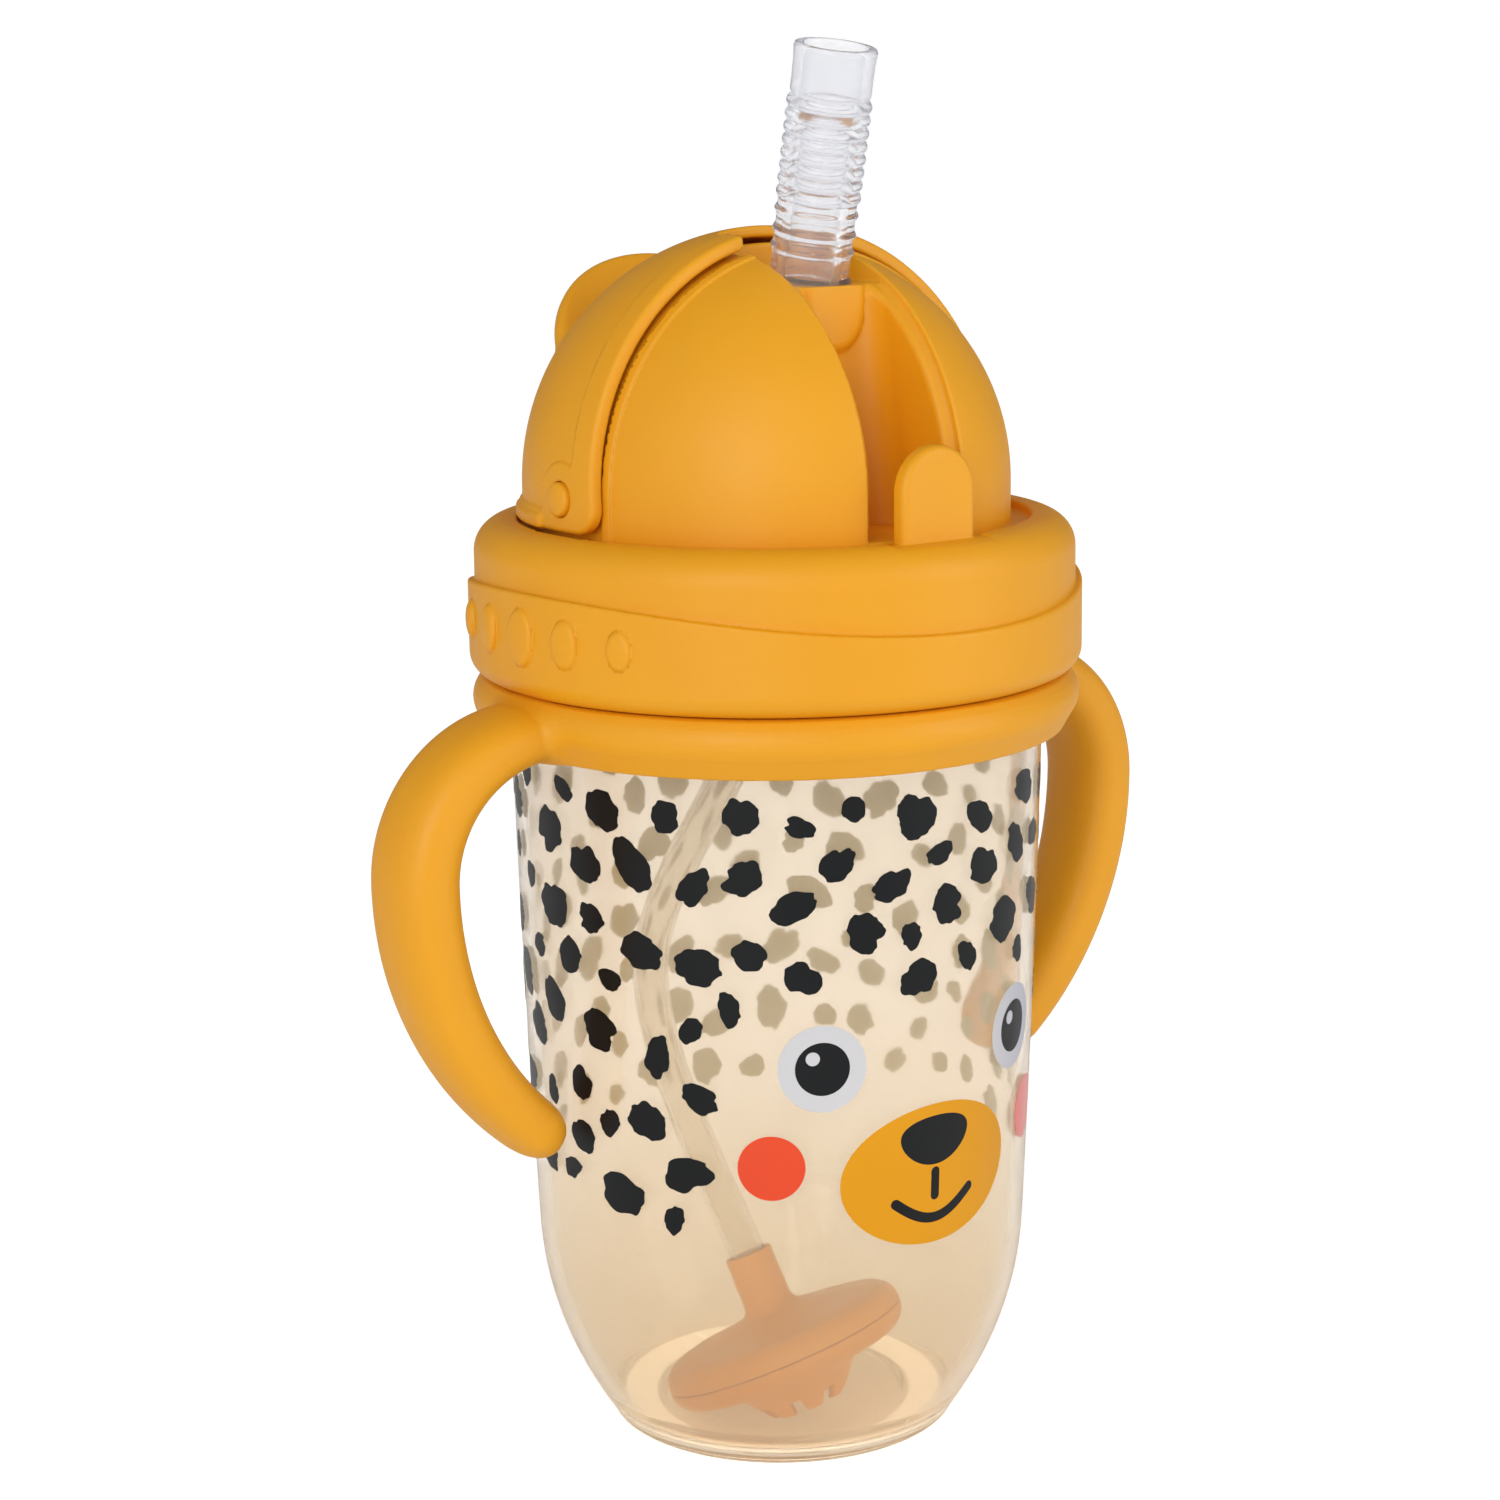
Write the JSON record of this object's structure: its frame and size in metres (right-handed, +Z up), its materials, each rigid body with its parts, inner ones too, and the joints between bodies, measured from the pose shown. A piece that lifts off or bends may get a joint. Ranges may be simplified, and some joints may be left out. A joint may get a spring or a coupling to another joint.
{
  "type": "sippy cup",
  "caption": "Toddler sippy cup: tapered translucent bottle, ring with two handles, screw lid with a domed top, swinging cover, silicone straw and a weighted tube.",
  "frame": {"origin": "centre of the base, on the plane the cup stands on", "axes": "+Z up along the bottle's axis, front of the cup (straw channel, face print) towards -Y, handles along +X and -X, cover pivot axis parallel to X"},
  "size_m": [0.1204, 0.081, 0.1846],
  "materials": {
    "bottle_plastic": "clear amber-tinted, glossy, printed",
    "yellow_plastic": "satin moulded polypropylene",
    "clear_silicone": "translucent smooth silicone",
    "seal_silicone": "white silicone",
    "white_plastic": "moulded",
    "steel": "turned"
  },
  "bodies": {
    "bottle": {"bottle": "bottle_plastic"},
    "handles": {"handle_ring": "yellow_plastic"},
    "lid_seal": {"lid_gasket": "seal_silicone"},
    "lid": {"lid_body": "yellow_plastic", "pivot_pin_left": "yellow_plastic", "pivot_pin_right": "yellow_plastic", "straw_connector": "white_plastic", "vent_valve": "seal_silicone"},
    "cover": {"sliding_cover": "yellow_plastic"},
    "mouthpiece": {"straw_mouthpiece": "clear_silicone"},
    "weight": {"inner_tube": "clear_silicone", "weight_upper_shell": "yellow_plastic", "weight_lower_shell": "yellow_plastic", "weight_ballast": "steel"}
  },
  "joints": [
    {"name": "handle_turn", "type": "hinge", "parent": "bottle", "child": "handles", "pos_m": [0, 0, 0.0992], "axis": [0, 0, 1], "continuous": true},
    {"name": "lid_lift", "type": "slide", "parent": "bottle", "child": "lid_seal", "axis": [0, 0, 1], "range_m": [0, 0.0121]},
    {"name": "lid_turn", "type": "hinge", "parent": "lid_seal", "child": "lid", "pos_m": [0, 0, 0.112], "axis": [0, 0, 1], "range_deg": [0, 270]},
    {"name": "cover_close", "type": "hinge", "parent": "lid", "child": "cover", "pos_m": [0, 0, 0.1278], "axis": [1, 0, 0], "range_deg": [0, 82]},
    {"name": "straw_fold", "type": "hinge", "parent": "lid", "child": "mouthpiece", "pos_m": [0, -0.0104, 0.1538], "axis": [1, 0, 0], "range_deg": [0, 148.5], "deforming": ["straw_mouthpiece"]},
    {"name": "weight_orbit", "type": "hinge", "parent": "lid", "child": "weight", "pos_m": [0, 0, 0.06], "axis": [0, 0, 1], "range_deg": [-100, 100], "deforming": ["inner_tube"]}
  ],
  "couplings": [
    {"joint": "lid_lift", "follows": "lid_turn", "m_per_rad": 0.0025465},
    {"joint": "straw_fold", "follows": "cover_close", "ratio": 1.8048}
  ]
}
